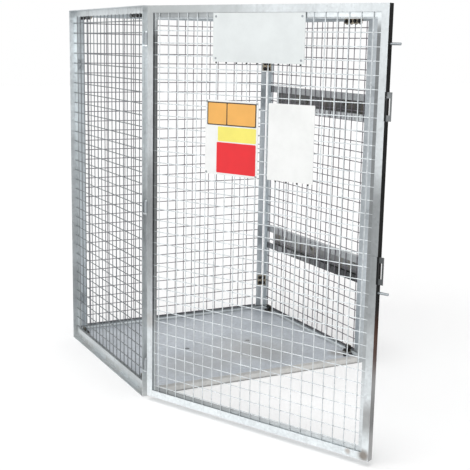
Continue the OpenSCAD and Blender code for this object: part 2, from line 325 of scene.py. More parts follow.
def galvanised(name, base, spangle=0.10, rough=0.42, metal=0.9, grime=0.35,
               streaks=0.12, painted_light_tones=(), waver=0.12, painted_light_bands=(), stains_and_painted_shade=()):
    """Hot-dip galvanised steel: spangle, cloudy patches, runs and grime.

    painted_light_tones are (height, share of the base) stops, low to high, of painted light and
    shade, and waver is how far clouds bend them. painted_light_bands are (x from, x to, share
    before, share after) across the closed door, of painted light and shade.
    stains_and_painted_shade are (place, radius, colour, strength) in the packed frame: real
    stains and patches of painted shade.
    """
    material, tree, shader = new_material(name)
    place = object_place(tree)
    base = Vector(base)
    flake = tree.add("ShaderNodeTexVoronoi", {"Vector": place, "Scale": 95.0})
    sparkle = tree.vector("DOT_PRODUCT", flake.outputs["Color"], (0.5, 0.3, 0.2), 1)
    cloud = tree.noise(place, 5.0, 5.0, 0.6)
    runs = tree.noise(place, 1.0, 4.0, 0.6, (38, 38, 2.2))
    fine = tree.noise(place, 260.0, 2.0)
    colour = tree.mix(tree.ramp(cloud, 0.35, 0.68), base * 0.88, base * 1.06)
    shade = tree.math("MULTIPLY_ADD", sparkle, spangle * 2, 1.0 - spangle)
    colour = tree.mix(1.0, colour, shade, "MULTIPLY")
    worn = tree.math("MULTIPLY", tree.ramp(runs, 0.52, 0.75), streaks)
    colour = tree.mix(worn, colour, base * 0.45)
    height = tree.add("ShaderNodeSeparateXYZ", {0: place}).outputs[2]
    # painted light and shade: the colour follows height stops
    if painted_light_tones:
        tone = height_tone(tree, height, cloud, painted_light_tones, waver)
        colour = tree.mix(1.0, colour, tone, "MULTIPLY")
    # painted light and shade across the door
    for start, end, before, after in painted_light_bands:
        along = tree.vector("DOT_PRODUCT", place, DOOR_ALONG, 1)
        share = tree.ramp(along, along_door(start), along_door(end), before, after)
        colour = tree.mix(1.0, colour, share, "MULTIPLY")
    low = tree.ramp(height, 0.0, 0.30, 1.0, 0.0)
    dusty = tree.math("MULTIPLY", low, tree.ramp(cloud, 0.38, 0.62), clamp=True)
    dusty = tree.math("MULTIPLY", dusty, grime)
    colour = tree.mix(dusty, colour, (0.33, 0.30, 0.26))
    pits = tree.ramp(tree.noise(place, 22.0, 6.0, 0.7), 0.66, 0.78, 0.0, 0.55)
    colour = tree.mix(pits, colour, base * 0.55)
    # real stains, and patches of painted shade
    for spot, radius, stain, strength in stains_and_painted_shade:
        away = tree.vector("DISTANCE", place, spot, 1)
        away = tree.math("ADD", away, tree.math("MULTIPLY", cloud, radius * 0.8))
        share = tree.ramp(away, radius * 0.6, radius * 1.5, strength, 0.0)
        colour = tree.mix(share, colour, stain)
    tree.put(shader.inputs["Base Color"], colour)
    shader.inputs["Metallic"].default_value = metal
    gloss = tree.math("MULTIPLY_ADD", sparkle, 0.14, rough - 0.07)
    gloss = tree.math("MULTIPLY_ADD", cloud, 0.16, tree.math("SUBTRACT", gloss, 0.08))
    tree.put(shader.inputs["Roughness"], gloss)
    relief = tree.math("ADD", tree.math("MULTIPLY", fine, 0.5), cloud)
    bump = tree.add("ShaderNodeBump", {
        "Strength": 0.18, "Distance": 0.0006, "Height": relief})
    tree.put(shader.inputs["Normal"], bump.outputs[0])
    return material


def height_tone(tree, height, cloud, painted_light_tones, waver=0.12):
    """Grey factor that follows (height, value) stops, bent by clouds."""
    # the stops paint light and shade along the height
    reach = 2.0
    level = tree.math("SUBTRACT", height, waver / 2)
    bent = tree.math("MULTIPLY_ADD", cloud, waver, level)
    node = tree.add("ShaderNodeValToRGB", {0: tree.math("DIVIDE", bent, reach)})
    ramp = node.color_ramp
    ramp.interpolation = "EASE"
    for number, (level, value) in enumerate(painted_light_tones):
        stop = ramp.elements[0] if number == 0 else ramp.elements.new(level / reach)
        stop.position = level / reach
        stop.color = (value, value, value, 1.0)
    ramp.elements.remove(ramp.elements[-1])
    return node.outputs[0]


# leg of the restraint rails, and the stretch from front to rear over which
# their web and lower leg change tone, a painted shade
RAIL_LEG = 0.034
RAIL_RUN = (-0.42, 0.36)


def stained_shaded_rail(name, base, stain, box, web, foot):
    """Restraint rail: clean upper leg, rust-stained web and a darker lower leg.

    web and foot are the shares of the base at the rear end and at the front end: painted shade
    along the rail, which makes the lower rail's lower leg dark.
    """
    material, tree, shader = new_material(name)
    place = object_place(tree)
    base = Vector(base)
    _, depth, height = tree.add("ShaderNodeSeparateXYZ", {0: place}).outputs
    centre = (box[0].z + box[1].z) / 2
    leg = (box[1].z - box[0].z) / 2 - RAIL_LEG
    cloud = tree.noise(place, 9.0, 5.0, 0.6)
    upper = tree.ramp(height, centre + leg - 0.002, centre + leg + 0.002)
    lower = tree.ramp(height, centre - leg - 0.002, centre - leg + 0.002, 1.0, 0.0)
    plate = tree.mix(tree.ramp(cloud, 0.35, 0.65), base * 0.85, base * 1.15)
    # painted shade: the web darkens along the rail
    share = tree.ramp(depth, *RAIL_RUN, web[1], web[0])
    plate = tree.mix(1.0, plate, share, "MULTIPLY")
    runs = tree.noise(place, 1.0, 5.0, 0.65, (1.0, 34.0, 5.0))
    plate = tree.mix(tree.ramp(runs, 0.46, 0.66, 0.0, 0.7), plate, stain)
    blots = tree.noise(place, 1.0, 4.0, 0.6, (1.0, 12.0, 22.0))
    plate = tree.mix(tree.ramp(blots, 0.58, 0.68, 0.0, 0.85), plate, Vector(stain) * 0.3)
    clean = tree.mix(tree.ramp(cloud, 0.35, 0.65), base * 0.90, base * 1.12)
    under = tree.mix(tree.ramp(runs, 0.45, 0.62), base * 1.2, base * 0.5)
    # painted shade: the lower leg darkens along the rail
    share = tree.ramp(depth, *RAIL_RUN, foot[1], foot[0])
    under = tree.mix(1.0, under, share, "MULTIPLY")
    colour = tree.mix(upper, plate, clean)
    colour = tree.mix(lower, colour, under)
    tree.put(shader.inputs["Base Color"], colour)
    shader.inputs["Metallic"].default_value = 0.85
    tree.put(shader.inputs["Roughness"], tree.ramp(cloud, 0.2, 0.8, 0.38, 0.58))
    bump = tree.add("ShaderNodeBump", {
        "Strength": 0.2, "Distance": 0.0006, "Height": runs})
    tree.put(shader.inputs["Normal"], bump.outputs[0])
    return material


def shaded_edge(name):
    """Outer side of the door's free edge: painted dark reflection, near black, paler towards its
    foot where the floor's reflection is painted, with a brownish tint between.
    """
    material, tree, shader = new_material(name)
    place = object_place(tree)
    cloud = tree.noise(place, 14.0, 4.0, 0.6)
    height = tree.add("ShaderNodeSeparateXYZ", {0: place}).outputs[2]
    tone = height_tone(tree, height, cloud, (
        (0.03, 0.50), (0.10, 0.45), (0.18, 0.28), (0.34, 0.42), (0.46, 0.08), (0.56, 0.002)))
    rusty = tree.math("MULTIPLY", tree.ramp(height, 0.30, 0.44),
                      tree.ramp(height, 0.50, 0.64, 1.0, 0.0))
    colour = tree.mix(tree.math("MULTIPLY", rusty, 0.6), tone, (0.12, 0.045, 0.025))
    tree.put(shader.inputs["Base Color"], colour)
    shader.inputs["Metallic"].default_value = 0.0
    shader.inputs["Specular IOR Level"].default_value = 0.10
    tree.put(shader.inputs["Roughness"], tree.ramp(cloud, 0.3, 0.7, 0.55, 0.7))
    return material


def passivated(name, base):
    """Yellow zinc with the cloudy rainbow film and dark handling marks."""
    material, tree, shader = new_material(name)
    place = object_place(tree)
    base = Vector(base)
    cloud = tree.noise(place, 30.0, 4.0)
    film = tree.noise(place, 70.0, 3.0)
    colour = tree.mix(tree.ramp(cloud, 0.35, 0.65), base * 0.65, base * 1.15)
    colour = tree.mix(tree.ramp(film, 0.5, 0.75, 0.0, 0.5), colour, (0.42, 0.36, 0.30))
    tree.put(shader.inputs["Base Color"], colour)
    shader.inputs["Metallic"].default_value = 0.85
    tree.put(shader.inputs["Roughness"], tree.ramp(cloud, 0.2, 0.8, 0.28, 0.5))
    return material


def blackened(name, base):
    """Dark bolts and washers with worn, paler high spots."""
    material, tree, shader = new_material(name)
    place = object_place(tree)
    base = Vector(base)
    wear = tree.noise(place, 120.0, 4.0)
    colour = tree.mix(tree.ramp(wear, 0.5, 0.75), base, base * 4.0 + Vector((0.02,) * 3))
    tree.put(shader.inputs["Base Color"], colour)
    shader.inputs["Metallic"].default_value = 0.7
    tree.put(shader.inputs["Roughness"], tree.ramp(wear, 0.2, 0.8, 0.3, 0.6))
    return material


def painted(name, base, rough=0.45, mottled=0.04, metal=0.0):
    """Printed or painted sheet, slightly uneven and faded."""
    material, tree, shader = new_material(name)
    place = object_place(tree)
    base = Vector(base)
    cloud = tree.noise(place, 9.0, 5.0, 0.6)
    grain = tree.noise(place, 420.0, 2.0)
    colour = tree.mix(tree.ramp(cloud, 0.3, 0.7), base * (1 - mottled),
                      base * (1 + mottled))
    tree.put(shader.inputs["Base Color"], colour)
    shader.inputs["Metallic"].default_value = metal
    tree.put(shader.inputs["Roughness"],
             tree.math("MULTIPLY_ADD", grain, 0.12, rough - 0.06))
    bump = tree.add("ShaderNodeBump", {
        "Strength": 0.1, "Distance": 0.0003, "Height": cloud})
    tree.put(shader.inputs["Normal"], bump.outputs[0])
    return material


def paint_node(node, material):
    """Gives a CAD node its finish."""
    shown = frame["nodes"][node]
    if not shown.material_slots:
        shown.data.materials.append(material)
    for each in shown.material_slots:
        each.link = "OBJECT"
        each.material = material


def add_coat(shown, material):
    """Adds a finish beside those a CAD node has; returns its slot."""
    shown.data.materials.append(material)
    slot = len(shown.material_slots) - 1
    shown.material_slots[slot].link = "OBJECT"
    shown.material_slots[slot].material = material
    return slot


def paint_side(node, direction, material):
    """Gives the outermost faces of a CAD node that look along direction a finish."""
    shown = frame["nodes"][node]
    direction = Vector(direction).normalized()
    reach = max(direction @ v.co for v in shown.data.vertices)
    slot = add_coat(shown, material)
    for face in shown.data.polygons:
        if face.normal @ direction > 0.9 and direction @ face.center > reach - 0.001:
            face.material_index = slot


def paint_half(node, material):
    """Gives the left half of a CAD node of the cage a finish."""
    shown = frame["nodes"][node]
    slot = add_coat(shown, material)
    for face in shown.data.polygons:
        if face.center.x < 0:
            face.material_index = slot


# ---------------------------------------------------------------------------
# Geometry Nodes
# ---------------------------------------------------------------------------

def geometry_tree(name, inputs):
    """A Geometry Nodes tree with named inputs; returns it with its ends."""
    group = bpy.data.node_groups.new(name, "GeometryNodeTree")
    face = group.interface
    face.new_socket("Geometry", in_out="INPUT", socket_type="NodeSocketGeometry")
    for label, kind in inputs:
        face.new_socket(label, in_out="INPUT", socket_type="NodeSocket" + kind)
    face.new_socket("Geometry", in_out="OUTPUT", socket_type="NodeSocketGeometry")
    tree = Tree(group)
    start = tree.add("NodeGroupInput").outputs
    return group, tree, start


def finish_tree(tree, geometry, material):
    """Ends a tree with Realize Instances and Set Material."""
    real = tree.add("GeometryNodeRealizeInstances", {0: geometry}).outputs[0]
    coat = tree.add("GeometryNodeSetMaterial", {"Geometry": real, "Material": material})
    tree.add("NodeGroupOutput", {0: coat.outputs[0]})


def add_object(name, data):
    """A new object in the scene."""
    item = bpy.data.objects.new(name, data)
    bpy.context.scene.collection.objects.link(item)
    return item


def run_tree(name, group, values, base=None, place=None, smooth=40.0):
    """Runs a tree on a base mesh and returns its result as a plain piece."""
    seed = bpy.data.meshes.new(name + "_base") if base is None else base
    helper = add_object(name + "_helper", seed)
    modifier = helper.modifiers.new("Build", "NODES")
    modifier.node_group = group
    sockets = {s.name: s.identifier for s in group.interface.items_tree
               if s.in_out == "INPUT" and s.socket_type != "NodeSocketGeometry"}
    for label, value in values.items():
        modifier[sockets[label]] = value
    graph = bpy.context.evaluated_depsgraph_get()
    made = bpy.data.meshes.new_from_object(helper.evaluated_get(graph))
    bpy.data.objects.remove(helper)
    if place is not None:
        made.transform(place)
    made.name = name
    piece = add_object(name, made)
    if smooth:
        shade_auto(made, smooth)
    return piece


def shade_auto(mesh, degrees):
    """Smooth faces, with edges sharper than the angle kept sharp."""
    for face in mesh.polygons:
        face.use_smooth = True
    mesh.set_sharp_from_angle(angle=math.radians(degrees))


def weld_mesh_tree():
    """Square weld mesh: upright wires, cross wires and a nugget at each weld."""
    group, tree, start = geometry_tree("Weld mesh", [
        ("Width", "Float"), ("Height", "Float"), ("Columns", "Int"), ("Rows", "Int"),
        ("First column", "Float"), ("First row", "Float"), ("Pitch", "Float"),
        ("Wire", "Float"), ("Wave", "Float"), ("Seed", "Float"),
        ("Segments", "Int"), ("Material", "Material")])
    radius = tree.math("MULTIPLY", start["Wire"], 0.5)
    ring = tree.add("GeometryNodeCurvePrimitiveCircle", {
        "Resolution": 8, "Radius": radius}).outputs[0]

    def xyz(x=0.0, y=0.0, z=0.0):
        return tree.add("ShaderNodeCombineXYZ", {0: x, 1: y, 2: z}).outputs[0]

    def wires(end, count, first, step):
        line = tree.add("GeometryNodeCurvePrimitiveLine", {"End": end}).outputs[0]
        line = tree.add("GeometryNodeResampleCurve", {
            "Curve": line, "Count": start["Segments"]}).outputs[0]
        bar = tree.add("GeometryNodeCurveToMesh", {
            "Curve": line, "Profile Curve": ring, "Fill Caps": True}).outputs[0]
        row = tree.add("GeometryNodeMeshLine", {
            "Count": count, "Start Location": first, "Offset": step}).outputs[0]
        return tree.add("GeometryNodeInstanceOnPoints", {
            "Points": row, "Instance": bar}).outputs[0], row

    behind = tree.math("MULTIPLY", start["Wire"], 1.42)
    upright, columns = wires(
        xyz(z=start["Height"]), start["Columns"],
        xyz(x=start["First column"], y=radius), xyz(x=start["Pitch"]))
    across, _ = wires(
        xyz(x=start["Width"]), start["Rows"],
        xyz(y=behind, z=start["First row"]), xyz(z=start["Pitch"]))
    rows = tree.add("GeometryNodeMeshLine", {
        "Count": start["Rows"],
        "Start Location": xyz(y=tree.math("MULTIPLY", start["Wire"], 0.46),
                              z=start["First row"]),
        "Offset": xyz(z=start["Pitch"])}).outputs[0]
    grid = tree.add("GeometryNodeInstanceOnPoints", {
        "Points": columns, "Instance": rows}).outputs[0]
    grid = tree.add("GeometryNodeRealizeInstances", {0: grid}).outputs[0]
    bead = tree.add("GeometryNodeMeshIcoSphere", {
        "Radius": tree.math("MULTIPLY", radius, 1.25), "Subdivisions": 1}).outputs[0]
    nuggets = tree.add("GeometryNodeInstanceOnPoints", {
        "Points": grid, "Instance": bead}).outputs[0]
    joined = tree.add("GeometryNodeJoinGeometry")
    for part in (upright, across, nuggets):
        tree.tree.links.new(part, joined.inputs[0])
    real = tree.add("GeometryNodeRealizeInstances", {0: joined.outputs[0]}).outputs[0]
    at = tree.add("GeometryNodeInputPosition").outputs[0]
    shifted = tree.vector("ADD", at, xyz(y=start["Seed"]))
    drift = tree.add("ShaderNodeTexNoise", {"Vector": shifted, "Scale": 3.1,
                                            "Detail": 2.0}).outputs["Color"]
    drift = tree.vector("SUBTRACT", drift, (0.5, 0.5, 0.5))
    scaled = tree.add("ShaderNodeVectorMath", {0: drift}, operation="SCALE")
    tree.put(scaled.inputs["Scale"], tree.math("MULTIPLY", start["Wave"], 2.0))
    moved = tree.add("GeometryNodeSetPosition", {
        "Geometry": real, "Offset": scaled.outputs[0]}).outputs[0]
    finish_tree(tree, moved, start["Material"])
    return group


def scatter_tree(name, build):
    """One shape on each point of the base, its z axis along attribute axis."""
    group, tree, start = geometry_tree(name, [
        ("Size", "Float"), ("Height", "Float"), ("Washer", "Float"),
        ("Seed", "Int"), ("Material", "Material")])
    shape = build(tree, start)
    axis = tree.add("GeometryNodeInputNamedAttribute", {"Name": "axis"},
                    data_type="FLOAT_VECTOR").outputs[0]
    aligned = tree.add("FunctionNodeAlignRotationToVector", {"Vector": axis}, axis="Z")
    spin = tree.add("FunctionNodeRandomValue", data_type="FLOAT")
    spin.inputs[2].default_value = 0.0
    spin.inputs[3].default_value = math.tau
    tree.put(spin.inputs["Seed"], start["Seed"])
    angle = tree.add("ShaderNodeCombineXYZ", {2: spin.outputs[1]}).outputs[0]
    turned = tree.add("FunctionNodeRotateRotation", {
        0: aligned.outputs[0], 1: angle}, rotation_space="LOCAL").outputs[0]
    placed = tree.add("GeometryNodeInstanceOnPoints", {
        "Points": start["Geometry"], "Instance": shape, "Rotation": turned}).outputs[0]
    finish_tree(tree, placed, start["Material"])
    return group


def bolt_shape(tree, start):
    """Hexagon head with a chamfered crown on a washer."""
    radius = tree.math("DIVIDE", start["Size"], math.sqrt(3.0))
    plate_high = tree.math("MULTIPLY", start["Height"], 0.28)
    crown_high = tree.math("MULTIPLY", start["Height"], 0.2)
    body_high = tree.math("SUBTRACT", start["Height"], crown_high)

    def lifted(part, z):
        up = tree.add("ShaderNodeCombineXYZ", {2: z}).outputs[0]
        return tree.add("GeometryNodeTransform", {
            "Geometry": part, "Translation": up}).outputs[0]

    plate = tree.add("GeometryNodeMeshCylinder", {
        "Vertices": 20, "Radius": tree.math("MULTIPLY", start["Washer"], 0.5),
        "Depth": plate_high}).outputs[0]
    head = tree.add("GeometryNodeMeshCylinder", {
        "Vertices": 6, "Radius": radius, "Depth": body_high}).outputs[0]
    crown = tree.add("GeometryNodeMeshCone", {
        "Vertices": 6, "Radius Bottom": radius, "Depth": crown_high,
        "Radius Top": tree.math("MULTIPLY", radius, 0.84)}).outputs[0]
    joined = tree.add("GeometryNodeJoinGeometry")
    half_body = tree.math("MULTIPLY", body_high, 0.5)
    for part in (
        lifted(plate, tree.math("MULTIPLY", plate_high, 0.5)),
        lifted(head, tree.math("ADD", plate_high, half_body)),
        lifted(crown, tree.math("ADD", plate_high, body_high)),
    ):
        tree.tree.links.new(part, joined.inputs[0])
    return joined.outputs[0]


def bead_shape(tree, start):
    """Flattened drop of weld metal."""
    drop = tree.add("GeometryNodeMeshIcoSphere", {
        "Radius": tree.math("MULTIPLY", start["Size"], 0.5),
        "Subdivisions": 2}).outputs[0]
    return tree.add("GeometryNodeTransform", {
        "Geometry": drop, "Scale": (1.0, 0.82, 0.5)}).outputs[0]


def rivet_shape(tree, start):
    """Domed rivet head on a thin flange."""
    radius = tree.math("MULTIPLY", start["Size"], 0.5)
    dome = tree.add("GeometryNodeMeshUVSphere", {
        "Segments": 16, "Rings": 8, "Radius": radius}).outputs[0]
    dome = tree.add("GeometryNodeTransform", {
        "Geometry": dome, "Scale": (1.0, 1.0, 0.45)}).outputs[0]
    flange = tree.add("GeometryNodeMeshCylinder", {
        "Vertices": 16, "Radius": tree.math("MULTIPLY", radius, 1.3),
        "Depth": tree.math("MULTIPLY", start["Height"], 0.3)}).outputs[0]
    joined = tree.add("GeometryNodeJoinGeometry")
    for part in (dome, flange):
        tree.tree.links.new(part, joined.inputs[0])
    return joined.outputs[0]


def points_mesh(name, spots):
    """Base mesh of points, each (place, axis)."""
    mesh = bpy.data.meshes.new(name)
    mesh.from_pydata([tuple(p) for p, _ in spots], [], [])
    axis = mesh.attributes.new("axis", "FLOAT_VECTOR", "POINT")
    for item, (_, direction) in zip(axis.data, spots):
        item.vector = Vector(direction)
    return mesh


# ---------------------------------------------------------------------------
# Operators
# ---------------------------------------------------------------------------

def mesh_lines(size, pitch, edge):
    """Places of the wires across size that keep clear of both edges."""
    cad_pitch = 2 * pitch
    inner = size - 2 * edge
    count = round(inner / cad_pitch)
    first = (inner - count * cad_pitch) / 2
    places = [edge + first + i * pitch for i in range(2 * count + 1)]
    clear = 0.004
    return [p for p in places if edge + clear < p < size - edge - clear]


class CAGE_OT_weld_mesh(bpy.types.Operator):
    """Square weld mesh behind the angles of every panel"""

    bl_idname = "cage.weld_mesh"
    bl_label = "Weld mesh"

    def execute(self, context):
        sizes = context.scene.cage_mesh
        group = weld_mesh_tree()
        for number, (panel, facts) in enumerate(PANELS.items()):
            place, width, height, leg, body = facts
            covered = panel in COVERED
            edge = leg - (sizes.short_lap if covered else sizes.lap)
            end = leg - (sizes.long_lap if covered else sizes.lap)
            columns = mesh_lines(width, sizes.pitch, leg - CAD_LAP)
            rows = mesh_lines(height, sizes.pitch, leg - CAD_LAP)
            inset = Matrix.Translation((end, sizes.angle, edge))
            piece = run_tree(panel + "_weld_mesh", group, {
                "Width": width - 2 * end, "Height": height - 2 * edge,
                "Columns": len(columns), "Rows": len(rows),
                "First column": columns[0] - end, "First row": rows[0] - edge,
                "Pitch": sizes.pitch, "Wave": sizes.wave,
                "Wire": sizes.wire if body == "door" else sizes.heavy,
                "Seed": 7.3 * number, "Segments": max(6, round(height / 0.1)),
                "Material": finish(panel + "_wire")}, place=place @ inset, smooth=50.0)
            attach(piece, body)
            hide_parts(panel + "_mesh")
        return {"FINISHED"}


class CAGE_OT_finishes(bpy.types.Operator):
    """Procedural finish for every part of the frame"""

    bl_idname = "cage.finishes"
    bl_label = "Finishes"

    def execute(self, context):
        make_finishes(context.scene.cage_colours)
        for node, name in NODE_FINISH.items():
            paint_node(node, finish(name))
        # outer side of the free edge: painted dark reflection
        paint_side("door_stiles", DOOR_ALONG, finish("edge"))
        paint_half("corner_brackets", finish("bracket"))
        # front fold of the floor sheet: painted shadow line at its foot and a lighter face
        paint_side("floor_tray", (0, -1, 0), finish("nose"))
        return {"FINISHED"}


class CAGE_OT_floor_lips(bpy.types.Operator):
    """Folded lips round the floor sheet and cover strips over the ends of the wires"""

    bl_idname = "cage.floor_lips"
    bl_label = "Floor lips"

    def execute(self, context):
        sizes = context.scene.cage_lips
        x0, x1 = TRAY_LOW.x, TRAY_HIGH.x
        y0, y1 = TRAY_LOW.y, TRAY_HIGH.y
        top = TRAY_HIGH.z
        t = sizes.thick
        for name, start, end, inward in (
            ("floor_lip_left", (x0, y0 + t, top), (x0, y1, top), (1, 0, 0)),
            ("floor_lip_right", (x1, y0 + t, top), (x1, y1, top), (-1, 0, 0)),
            ("floor_lip_rear", (x0 + t, y1, top), (x1 - t, y1, top), (0, -1, 0)),
        ):
            piece = folded_lip(name, Vector(start), Vector(end), Vector(inward), sizes)
            piece.data.materials.append(finish("lip"))
            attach(piece, "cage")
        mesh = context.scene.cage_mesh
        inner = mesh.angle + 1.92 * mesh.heavy + mesh.wave
        for panel in COVERED:
            place, width, _, leg, body = PANELS[panel]
            piece = flat_strip(panel + "_cover", place, leg, width - leg,
                               leg, leg + sizes.cover, inner, inner + sizes.thick)
            piece.data.materials.append(finish("cover"))
            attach(piece, body)
        return {"FINISHED"}


class CAGE_OT_fasteners(bpy.types.Operator):
    """Bolts on the brackets, clamps, clips and floor sheet"""

    bl_idname = "cage.fasteners"
    bl_label = "Fasteners"

    def execute(self, context):
        sizes = context.scene.cage_fasteners
        bolts = scatter_tree("Bolts", bolt_shape)
        values = {"Size": sizes.bolt_flats, "Height": sizes.bolt_height,
                  "Washer": sizes.washer, "Seed": 3}
        for name, body, finish_name, spots in bolt_places():
            piece = run_tree(name, bolts, {**values, "Material": finish(finish_name)},
                             points_mesh(name + "_points", spots), smooth=30.0)
            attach(piece, body)
        return {"FINISHED"}


class CAGE_OT_welds(bpy.types.Operator):
    """Weld beads where the wires end on the frames"""

    bl_idname = "cage.welds"
    bl_label = "Welds"

    def execute(self, context):
        sizes = context.scene.cage_fasteners
        beads = scatter_tree("Welds", bead_shape)
        for body in ("cage", "door"):
            name = body + "_welds"
            piece = run_tree(name, beads, {
                "Size": sizes.weld, "Height": sizes.weld, "Washer": 0.0, "Seed": 5,
                "Material": finish("weld")},
                points_mesh(name + "_points", weld_places(body)), smooth=60.0)
            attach(piece, body)
        return {"FINISHED"}


class CAGE_OT_signs(bpy.types.Operator):
    """Colour fields of the bare sign, rivets of the door's plates, and dark dots of painted
    shadow under them
    """

    bl_idname = "cage.signs"
    bl_label = "Signs"

    def execute(self, context):
        low, high = closed_box("sign_panel")
        w, h = high.x - low.x, high.z - low.z
        for name, finish_name, lift, (x0, z0, x1, z1) in SIGN_FIELDS:
            field = rounded_plate(
                name, low.x + x0 * w, low.z + z0 * h, low.x + x1 * w,
                low.z + z1 * h, low.y, lift, 0.004)
            field.data.materials.append(finish(finish_name))
            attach(field, "door")
        rivets = scatter_tree("Rivets", rivet_shape)
        sizes = context.scene.cage_fasteners
        piece = run_tree("plate_rivets", rivets, {
            "Size": sizes.bolt_height * 1.1, "Height": sizes.bolt_height * 0.5,
            "Washer": 0.0, "Seed": 2, "Material": finish("steel")},
            points_mesh("plate_rivet_points", rivet_places()), smooth=60.0)
        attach(piece, "door")
        # dark dots under the plates: painted shadow of the plates on the wires
        plate_shadows = run_tree("plate_shadow_dots", rivets, {
            "Size": 0.006, "Height": 0.003, "Washer": 0.0, "Seed": 4,
            "Material": finish("dark")},
            points_mesh("plate_shadow_dot_points", plate_shadow_places()), smooth=60.0)
        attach(plate_shadows, "door")
        return {"FINISHED"}


class CAGE_OT_stage(bpy.types.Operator):
    """Studio floor, lamps, background and the photograph's camera"""

    bl_idname = "cage.stage"
    bl_label = "Stage"

    def execute(self, context):
        make_stage(context.scene.cage_stage)
        return {"FINISHED"}


class CAGE_PT_panel(bpy.types.Panel):
    """Lists the steps and their sizes"""

    bl_idname = "CAGE_PT_panel"
    bl_label = "Gas cylinder cage"
    bl_space_type = "VIEW_3D"
    bl_region_type = "UI"
    bl_category = "Cage"

    def draw(self, context):
        layout = self.layout
        for step in STEPS:
            layout.operator(step.bl_idname)
        for name, group in GROUPS.items():
            box = layout.box()
            box.label(text=group.__doc__)
            for key in group.__annotations__:
                box.prop(getattr(context.scene, name), key)


STEPS = (
    CAGE_OT_finishes,
    CAGE_OT_weld_mesh,
    CAGE_OT_floor_lips,
    CAGE_OT_fasteners,
    CAGE_OT_welds,
    CAGE_OT_signs,
    CAGE_OT_stage,
)


# ---------------------------------------------------------------------------
# Places of the small parts
# ---------------------------------------------------------------------------

# how far the mesh of the frame's panels laps onto its angle
CAD_LAP = 0.012
# thickness of the corner brackets, clamps and clips
PLATE = 0.004
# panels whose lower wire ends are covered by a strip
COVERED = ("left", "rear", "right")

# field name: (finish, lift, (left, bottom, right, top) as shares of the sign)
SIGN_FIELDS = (
    ("sign_field_outline", "line", 0.0003, (0.035, 0.665, 0.965, 0.975)),
    ("sign_field_upper_left", "orange", 0.0006, (0.055, 0.680, 0.405, 0.960)),
    ("sign_field_upper_right", "orange", 0.0006, (0.425, 0.680, 0.945, 0.960)),
    ("sign_field_middle", "gold", 0.0004, (0.245, 0.455, 0.965, 0.650)),
    ("sign_field_lower", "red", 0.0004, (0.225, 0.030, 0.965, 0.440)),
)

NODE_FINISH = {
    "left_stiles": "left", "left_rails": "left", "left_mesh": "left_wire",
    "rear_stiles": "rear", "rear_rails": "rear", "rear_mesh": "rear_wire",
    "right_stiles": "right", "right_rails": "right", "right_mesh": "right_wire",
    "roof_mesh": "roof_wire", "door_mesh": "door_wire",
    "upper_restraint_rail": "upper_rail", "lower_restraint_rail": "lower_rail",
    "roof_side_members": "right", "roof_cross_members": "right",
    "roof_clamps": "yellow", "corner_brackets": "yellow", "floor_clips": "clip",
    "floor_tray": "floor", "floor_bearers": "floor",
    "hinge_pintles": "left", "hinge_knuckles": "knuckle",
    "lock_staples": "right", "hasp_plates": "hasp", "locating_pegs": "steel",
    "door_stiles": "door", "door_rails": "door", "door_mesh_strips": "strip",
    "name_plate": "plate", "sign_panel": "board", "notice_sheet": "paper",
}

FINISHES = {}


def finish(name):
    """A finish made by the finishes step."""
    return FINISHES[name]


